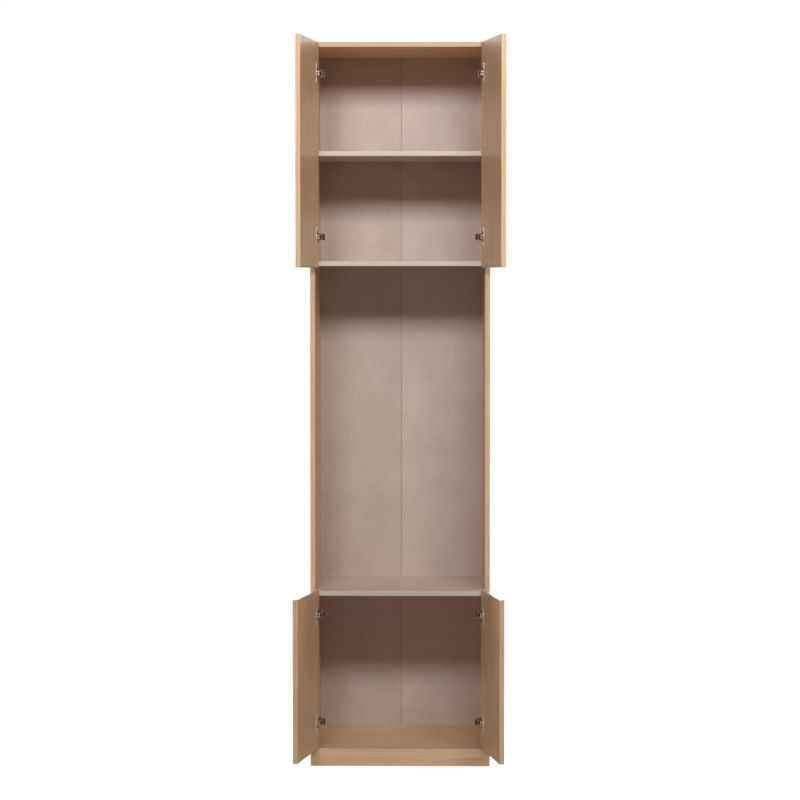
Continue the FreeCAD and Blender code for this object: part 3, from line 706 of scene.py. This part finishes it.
@dataclass(frozen=True)
class HingeArm:
    """The arm of a concealed hinge: a pressed channel with rounded bends, open to the side and at its mouth.

    Sizes are in millimetres. The two lines give depths into the cabinet and distances from the side panel:
    foot_line for the edges of the cheeks at the side panel, and web_line for the face that joins the cheeks.
    """

    half_width: float = 10.9
    bend: float = 4.6
    sheet: float = 1.3
    foot_gap: float = 4.2
    brow: float = 4.9
    brow_power: int = 4
    foot_line: tuple[tuple[float, float], ...] = ((4.1, 14.1), (26.1, 4.6), (29.0, 4.2), (61.4, 4.2))
    web_line: tuple[tuple[float, float], ...] = (
        (12.4, 33.1), (15.0, 33.5), (17.6, 32.2), (33.2, 14.5), (61.4, 14.5))
    rows: int = 36
    cheek_columns: int = 9
    bend_columns: int = 7
    web_columns: int = 5

    def line(self, points: Sequence[tuple[float, float]]) -> np.ndarray:
        """Places along a line of corners, evenly spaced in depth.

        Args:
            points: The corners, each a depth and a distance from the side panel.

        Returns:
            One row for each step: the distance from the side panel, and the depth.
        """
        corners = np.array(points)
        depth = np.linspace(corners[0, 0], corners[-1, 0], self.rows)
        return np.stack([np.interp(depth, corners[:, 0], corners[:, 1]), depth], axis=-1)

    def sections(self, reach: np.ndarray) -> tuple[np.ndarray, np.ndarray]:
        """The channel's sections: a cheek from its foot, a quarter bend, the web, and the same way mirrored.

        Args:
            reach: How far the web is from the feet, in a column with one row for each section.

        Returns:
            How far each place is from the feet, row by row, and its height, which all rows share.
        """
        along = np.linspace(0, 1, self.cheek_columns, endpoint=False)
        turn = np.linspace(0, math.pi / 2, self.bend_columns)
        flat = np.linspace(1, 0, self.web_columns + 1)[1:]
        cheek = (reach - self.bend) * along
        bend = reach - self.bend + self.bend * np.sin(turn)
        out = np.concatenate([cheek, bend, np.repeat(reach, self.web_columns, axis=1)], axis=1)
        height = np.concatenate([np.full(self.cheek_columns, self.half_width),
                                 self.half_width - self.bend + self.bend * np.cos(turn),
                                 (self.half_width - self.bend) * flat])
        return (np.concatenate([out, out[:, -2::-1]], axis=1),
                np.concatenate([height, -height[-2::-1]]))

    def surface(self) -> tuple[np.ndarray, np.ndarray]:
        """The arm's outer face in its own frame, in metres.

        Returns:
            Points and faces, one row of points for each section. The mouth bows forward by
            brow * (1 - (2s - 1)^4), s being a place's share of the reach from the feet to the web, and the
            bow fades to the rear with the fourth power.
        """
        foot, web = self.line(self.foot_line), self.line(self.web_line)
        reach = np.linalg.norm(web - foot, axis=1)[:, None]
        way = (web - foot) / reach
        out, height = self.sections(reach)
        share = out / reach
        fade = np.linspace(1, 0, self.rows)[:, None] ** self.brow_power
        bow = self.brow * (1 - (2 * share - 1) ** self.brow_power) * fade
        x = foot[:, :1] + way[:, :1] * out + way[:, 1:] * bow
        y = foot[:, 1:] + way[:, 1:] * out - way[:, :1] * bow
        z = np.broadcast_to(height, x.shape)
        points = np.stack([x, y, z], axis=-1).reshape(-1, 3) * MILLIMETRE
        return points, grid_faces(self.rows, x.shape[1], False)

    def set_in(self, node: str, material: bpy.types.Material, body: str) -> bpy.types.Object:
        """Puts a pressed arm in the place of each solid of a CAD node.

        Args:
            node: The node of arms that the piece stands for.
            material: Its finish.
            body: The CAD body that it moves with.

        Returns:
            One piece with all the arms, given the sheet's thickness by a Solidify modifier.
        """
        form, form_faces = self.surface()
        points, faces = [], []
        for number, solid in enumerate(node_solids(node)):
            middle = centre(solid)
            side = np.sign(middle[0])
            wall = side * (np.abs(solid[:, 0]).max() + self.foot_gap * MILLIMETRE)
            points.append(form * [-side, 1.0, 1.0] + [wall, 0.0, middle[2]])
            turned = form_faces if side < 0 else form_faces[:, ::-1]
            faces.append(turned + number * len(form))
        piece = make_piece(f"{node}_pressed", np.concatenate(points), np.concatenate(faces), material)
        sheet = piece.modifiers.new("sheet", "SOLIDIFY")
        sheet.thickness = self.sheet * MILLIMETRE
        sheet.offset = -1.0
        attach(piece, body)
        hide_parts(node)
        return piece


@dataclass(frozen=True)
class ScrewForm:
    """A screw as a surface: a domed head with a cross recess, and a threaded shank.

    A sunk head has no flat under it. The shares of the recess and the dome follow the head, and those of the
    thread and the tip follow the shank. Each screw of a set is turned a step further than the one before it.
    """

    head_radius: float
    head_height: float
    shank_radius: float
    length: float
    sunk: bool = False
    recess_depth: float = 1.0 * MILLIMETRE
    recess_half_share: float = 0.13
    recess_reach_share: float = 0.62
    recess_ease_share: float = 0.08
    dome_share: float = 0.18
    thread_share: float = 0.16
    tip_share: float = 0.5
    point_share: float = 0.05
    pole_share: float = 0.03
    first_turn: float = 0.6
    next_turn: float = 1.1
    rings: int = 14
    spokes: int = 36
    turns: int = 8

    def depth_of_recess(self, x: np.ndarray, y: np.ndarray) -> np.ndarray:
        """How deep the driver recess is under a place on the head.

        Args:
            x: Place along the first arm.
            y: Place along the second arm.

        Returns:
            The depth: full inside each arm's half width, easing to nothing at its side and its end.
        """
        half = self.head_radius * self.recess_half_share
        reach = self.head_radius * self.recess_reach_share
        ease = self.head_radius * self.recess_ease_share

        def arm(along: np.ndarray, across: np.ndarray) -> np.ndarray:
            """One arm of the recess."""
            side = np.clip((half + ease - np.abs(across)) / ease, 0, 1)
            end = np.clip((reach + ease - np.abs(along)) / ease, 0, 1)
            return side * end

        return np.maximum(arm(x, y), arm(y, x)) * self.recess_depth

    def top(self, angle: np.ndarray) -> np.ndarray:
        """The head's top, a shallow dome less the recess, in rings of one point at each angle."""
        radius = np.linspace(self.pole_share, 1.0, self.rings) * self.head_radius
        r, a = np.meshgrid(radius, angle, indexing="ij")
        x, y = r * np.cos(a), r * np.sin(a)
        dome = self.dome_share * self.head_height * (r / self.head_radius) ** 2
        return np.stack([x, y, -dome - self.depth_of_recess(x, y)], axis=-1).reshape(-1, 3)

    def profile(self) -> tuple[np.ndarray, np.ndarray]:
        """The radii and the heights of the head's underside, the rippled thread and the tip, in order."""
        turn = np.arange(self.turns * 2)
        thread_r = self.shank_radius * (1.0 - self.thread_share * (turn % 2))
        thread_z = -self.head_height - (self.length - self.head_height) * (turn + 1) / (self.turns * 2 + 2)
        under = self.shank_radius if self.sunk else self.head_radius
        tip = self.shank_radius * np.array([self.tip_share, self.point_share])
        return (np.concatenate([[under, self.shank_radius], thread_r, tip]),
                np.concatenate([[-self.head_height] * 2, thread_z, [-self.length] * 2]))

    def surface(self) -> tuple[np.ndarray, np.ndarray]:
        """The screw with its head's top at the origin, pointing up Z.

        Returns:
            Points and faces. The top's rings come first, then the profile turned round the axis, and last the
            middle of the recess and the screw's point.
        """
        angle = np.linspace(0, 2 * math.pi, self.spokes, endpoint=False)
        radii, heights = self.profile()
        sides = np.stack([np.outer(radii, np.cos(angle)), np.outer(radii, np.sin(angle)),
                          np.repeat(heights[:, None], self.spokes, axis=1)], axis=-1).reshape(-1, 3)
        ends = np.array([[0.0, 0.0, -self.recess_depth], [0.0, 0.0, -self.length]])
        points = np.concatenate([self.top(angle), sides, ends])
        rows = self.rings + len(radii)
        faces = grid_faces(rows, self.spokes, True)[:, ::-1]
        spoke = np.arange(self.spokes)
        after = np.roll(spoke, -1)
        last = (rows - 1) * self.spokes
        top_fan = np.stack([spoke, after, np.full_like(spoke, len(points) - 2)], axis=-1)
        end_fan = np.stack([last + after, last + spoke, np.full_like(spoke, len(points) - 1)], axis=-1)
        triangles = np.concatenate([faces[:, [0, 1, 2]], faces[:, [0, 2, 3]], top_fan, end_fan])
        return points, triangles

    def set_in(self, node: str, axes: Callable[[np.ndarray], np.ndarray], material: bpy.types.Material,
               body: str) -> bpy.types.Object:
        """Puts a screw in the place of each solid of a CAD node.

        Args:
            node: The node of screws that the piece stands for.
            axes: Gives the direction a head faces from the solid's middle.
            material: The screws' finish.
            body: The CAD body that they move with.

        Returns:
            One piece with all the screws.
        """
        form, triangles = self.surface()
        points, faces = [], []
        for number, solid in enumerate(node_solids(node)):
            axis = np.asarray(axes(centre(solid)), dtype=float)
            beside = np.cross(axis, [0.0, 0.0, 1.0])
            turn = np.stack([beside, np.cross(axis, beside), axis])
            turned = solid @ turn.T
            head = np.array([*centre(turned)[:2], turned[:, 2].max()]) @ turn
            spin = self.first_turn + self.next_turn * number
            cosine, sine = math.cos(spin), math.sin(spin)
            twist = np.array([[cosine, sine, 0.0], [-sine, cosine, 0.0], [0.0, 0.0, 1.0]])
            faces.append(triangles + number * len(form))
            points.append(form @ twist @ turn + head)
        piece = make_piece(f"{node}_cut", np.concatenate(points), np.concatenate(faces), material)
        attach(piece, body)
        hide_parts(node)
        return piece


CUP_SCREW = ScrewForm(3.6 * MILLIMETRE, 1.8 * MILLIMETRE, 1.8 * MILLIMETRE, 13.0 * MILLIMETRE, sunk=True)
PLATE_SCREW = ScrewForm(4.2 * MILLIMETRE, 1.8 * MILLIMETRE, 2.5 * MILLIMETRE, 14.8 * MILLIMETRE)
ARM_SCREW = ScrewForm(3.2 * MILLIMETRE, 1.6 * MILLIMETRE, 2.0 * MILLIMETRE, 9.6 * MILLIMETRE)


@dataclass
class Carcass:
    """The boards, the back and the fittings that hold them, in groups that share a finish."""

    upright: tuple[str, ...] = ("side_panel_left", "side_panel_right")
    across: tuple[str, ...] = ("bottom_panel", "plinth_front", "plinth_rear")
    linen: tuple[str, ...] = ("upper_shelf", "upper_floor_panel", "niche_floor_panel")
    fittings: tuple[str, ...] = ("cam_bolts", "cam_housings", "shelf_pins")

    def dress(self) -> None:
        """Gives every board and fitting its finish."""
        oak_side = OakDecor("oak_side", Grain.UPRIGHT).build()
        # Painted light: a lighter copy of the oak tones for the level boards, standing in for more light on
        # the floor, plinth and top.
        painted_light_tones = (srgb(239, 201, 166), srgb(225, 183, 146), srgb(196, 153, 115))
        oak_across = OakDecor("oak_across", Grain.ACROSS, *painted_light_tones).build()
        # Painted shade on the top panel's front edge, and painted light from the lighter tones on its faces.
        oak_top_painted_light_and_shade = OakDecor("oak_top_painted_light_and_shade", Grain.ACROSS, *painted_light_tones, edge_share=0.8).build()
        # Painted light: the shelf and floor boards take a lighter copy of the back's linen.
        linen = LinenDecor("linen_board", srgb(212, 192, 179), srgb(184, 163, 150), srgb(227, 211, 200),
                           srgb(208, 191, 180)).build()
        # Painted light and shade: the back panels take the same linen as a darker copy on the left and a
        # lighter copy on the right.
        left = LinenDecor("linen_back_left_shaded_copy", srgb(197, 178, 165), srgb(170, 150, 137),
                          srgb(212, 196, 185)).build()
        right = LinenDecor("linen_back_right_lit_copy", srgb(203, 184, 171), srgb(176, 156, 143),
                           srgb(218, 202, 191)).build()
        zinc = PlatedSteel("zinc", srgb(196, 198, 200), srgb(150, 152, 156), 0.34).build()
        give_finish(self.upright, oak_side)
        give_finish(self.across, oak_across)
        give_finish(("top_panel",), oak_top_painted_light_and_shade)
        give_finish(self.linen, linen)
        give_finish(("back_panel_left",), left)
        give_finish(("back_panel_right",), right)
        give_finish(self.fittings, zinc)
        give_finish(("dowels",), BeechPeg("beech").build())
        give_finish(("back_seam_tape",), SeamTape("tape").build())


@dataclass
class DoorSet:
    """One door: its leaf and the moving and fixed pieces of its two hinges."""

    name: str
    leaf_finish: bpy.types.Material
    cup_finish: bpy.types.Material
    arm_finish: bpy.types.Material
    link_finish: bpy.types.Material
    screw_finish: bpy.types.Material
    edge_round: EdgeRound = EdgeRound()
    arm: HingeArm = HingeArm()

    def leaf_facing(self) -> np.ndarray:
        """The direction that the leaf's inner face looks, from the leaf's own points.

        Returns:
            A level unit vector across the leaf, from its thin direction, pointing at the cups' flanges.
        """
        points, _ = node_points(f"{self.name}_door")
        level = points[:, :2] - points[:, :2].mean(axis=0)
        _, _, ways = np.linalg.svd(level, full_matrices=False)
        thin = np.array([ways[1, 0], ways[1, 1], 0.0])
        cups, _ = node_points(f"{self.name}_hinge_cups")
        return thin if centre(cups @ thin) > centre(points @ thin) else -thin

    def dress(self) -> None:
        """Finishes the leaf and puts softened metal and cut screws in the hinges' places."""
        give_finish((f"{self.name}_door",), self.leaf_finish)
        give_finish((f"{self.name}_cup_pins",), self.arm_finish)
        leaf = f"{self.name}_leaf"
        places = (("hinge_cups", leaf, self.cup_finish), ("mounting_plates", "carcass", self.arm_finish),
                  ("outer_links", f"{self.name}_outer_link_pair", self.link_finish),
                  ("inner_links", f"{self.name}_inner_link_pair", self.link_finish))
        for node, body, finish in places:
            self.edge_round.set_in(f"{self.name}_{node}", finish, body)
        self.arm.set_in(f"{self.name}_hinge_arms", self.arm_finish, "carcass")
        facing = self.leaf_facing()
        CUP_SCREW.set_in(f"{self.name}_cup_screws", lambda middle: facing, self.screw_finish, leaf)


def give_finish(nodes: Sequence[str], material: bpy.types.Material) -> None:
    """Puts a finish on CAD nodes, in every material slot they have."""
    for node in nodes:
        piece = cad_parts[node]
        if not piece.material_slots:
            piece.data.materials.append(material)
        for slot in piece.material_slots:
            slot.link = "OBJECT"
            slot.material = material


@dataclass(frozen=True)
class Lamp:
    """An oblong area lamp: place, aim and size in metres, power in watts and spread in degrees."""

    name: str
    place: Place
    aim: Place
    watts: float
    width: float = 0.9
    height: float = 0.75
    spread: float = 180.0
    tint: tuple[float, float, float] = WHITE[:3]


FRONT_TINT = (0.985, 0.99, 0.92)
UPPER_TINT = (0.955, 1.0, 1.05)
LAMPS = (
    Lamp("key", (-0.9, -4.2, 3.64), (0.0, 0.2, 1.2), 14.5, tint=FRONT_TINT),
    Lamp("upper_left", (-0.9, -4.2, 3.64), (0.0, 0.2, 2.3), 22.0, spread=100.0, tint=UPPER_TINT),
    Lamp("upper_right", (0.9, -4.2, 3.64), (0.0, 0.2, 2.3), 20.0, spread=100.0, tint=UPPER_TINT),
    Lamp("wide_left", (-1.9, -3.9, 3.64), (0.0, 0.2, 1.4), 11.0, tint=FRONT_TINT),
    Lamp("wide_right", (1.9, -3.9, 3.64), (0.0, 0.2, 1.4), 54.5, tint=FRONT_TINT),
    Lamp("wing_left", (-3.6, 1.6, 1.9), (-0.3, 0.23, 1.25), 28.0, 1.6, 2.2, 90.0),
    Lamp("wing_right", (3.6, 1.6, 1.9), (0.3, 0.23, 1.25), 22.0, 1.6, 2.2, 90.0),
    Lamp("behind", (0.0, 3.6, 1.7), (0.0, 0.4, 1.3), 11.0, 2.0, 2.4, 80.0),
)


@dataclass
class Studio:
    """The camera, the lamps, the world and the floor.

    Lengths are in metres, turns in radians and the sensor's width in millimetres. The lens is counted in
    pixels of a picture that is image_pixels wide, and the shift in shares of its width.
    """

    eye: Place = (0.10283, -8.562, 1.625)
    yaw: float = 0.01204
    pitch: float = 0.03242
    lens_pixels: float = 2568.0
    image_pixels: float = 800.0
    sensor: float = 36.0
    shift_up: float = -0.04436
    sight: float = 100.0
    ambient: float = 0.01
    floor_reach: float = 14.0
    floor_drop: float = -0.0005

    def camera(self) -> None:
        """Sets the camera where the photograph was taken from, turned and tipped as it was."""
        data = bpy.data.cameras.new("camera")
        data.sensor_width = self.sensor
        data.lens = self.lens_pixels / self.image_pixels * self.sensor
        data.shift_y = self.shift_up
        data.clip_end = self.sight
        camera = bpy.data.objects.new("camera", data)
        camera.location = self.eye
        camera.rotation_euler = (math.pi / 2 - self.pitch, 0.0, self.yaw)
        bpy.context.scene.collection.objects.link(camera)
        bpy.context.scene.camera = camera

    def hang(self, lamp: Lamp) -> None:
        """Hangs a lamp at its place, facing its aim."""
        light = bpy.data.lights.new(lamp.name, "AREA")
        light.shape = "RECTANGLE"
        light.size = lamp.width
        light.size_y = lamp.height
        light.energy = lamp.watts
        light.color = lamp.tint
        light.spread = math.radians(lamp.spread)
        piece = bpy.data.objects.new(lamp.name, light)
        piece.location = lamp.place
        way = Vector(lamp.aim) - Vector(lamp.place)
        piece.rotation_mode = "QUATERNION"
        piece.rotation_quaternion = way.to_track_quat("-Z", "Y")
        bpy.context.scene.collection.objects.link(piece)

    def world(self) -> None:
        """White where the camera or a reflection looks, and a plain soft light for the cabinet."""
        world = bpy.data.worlds.new("studio")
        bpy.context.scene.world = world
        world.use_nodes = True
        bench = Bench(world.node_tree)
        strength = bench.seen() * (1.0 - self.ambient) + self.ambient
        sky = bench.add("ShaderNodeBackground", values={"Color": WHITE, "Strength": strength})
        bench.add("ShaderNodeOutputWorld", values={"Surface": sky}, output=None)

    def floor(self) -> None:
        """Lays a wide pale floor under the cabinet, just below its plinth."""
        ways = ((-1, -1), (1, -1), (1, 1), (-1, 1))
        points = np.array([[x * self.floor_reach, y * self.floor_reach, self.floor_drop] for x, y in ways])
        material = StudioFloor("studio_floor").build()
        floor = make_piece("studio_floor", points, np.arange(len(ways))[None], material)

    def build(self) -> None:
        """Sets up the whole studio."""
        self.camera()
        for lamp in LAMPS:
            self.hang(lamp)
        self.world()
        self.floor()
        bpy.context.scene.view_settings.view_transform = "Standard"


def main() -> None:
    """Builds the cabinet's looks, sub-assembly by sub-assembly."""
    logging.basicConfig(level=logging.INFO, format="%(name)s: %(message)s")
    Studio().build()
    LOG.info("studio is set")
    Carcass().dress()
    LOG.info("carcass is dressed")
    leaf = OakDecor("oak_door", Grain.UPRIGHT).build()
    # Painted reflection and light: warm brown tones stand in for the oak mirrored in the hinge steel, and the
    # cup is paler than the arm and links.
    cup = PlatedSteel("hinge_cup", srgb(212, 192, 176), srgb(180, 158, 142), 0.4).build()
    arm = PlatedSteel("hinge_arm", srgb(158, 134, 116), srgb(122, 101, 86), 0.42).build()
    link = PlatedSteel("hinge_link", srgb(164, 146, 131), srgb(132, 115, 101), 0.46).build()
    screw = PlatedSteel("hinge_screw", srgb(196, 190, 182), srgb(158, 150, 141), 0.26).build()
    for name in DOORS:
        DoorSet(name, leaf, cup, arm, link, screw).dress()
        LOG.info("%s door and hinges are dressed", name)
    give_finish(("hinge_arm_pins",), arm)
    for node, form in (("mounting_plate_screws", PLATE_SCREW), ("hinge_arm_screws", ARM_SCREW)):
        form.set_in(node, lambda middle: np.array([-np.sign(middle[0]), 0.0, 0.0]), screw, "carcass")
        LOG.info("%s are cut", node)


if __name__ == "__main__":
    main()
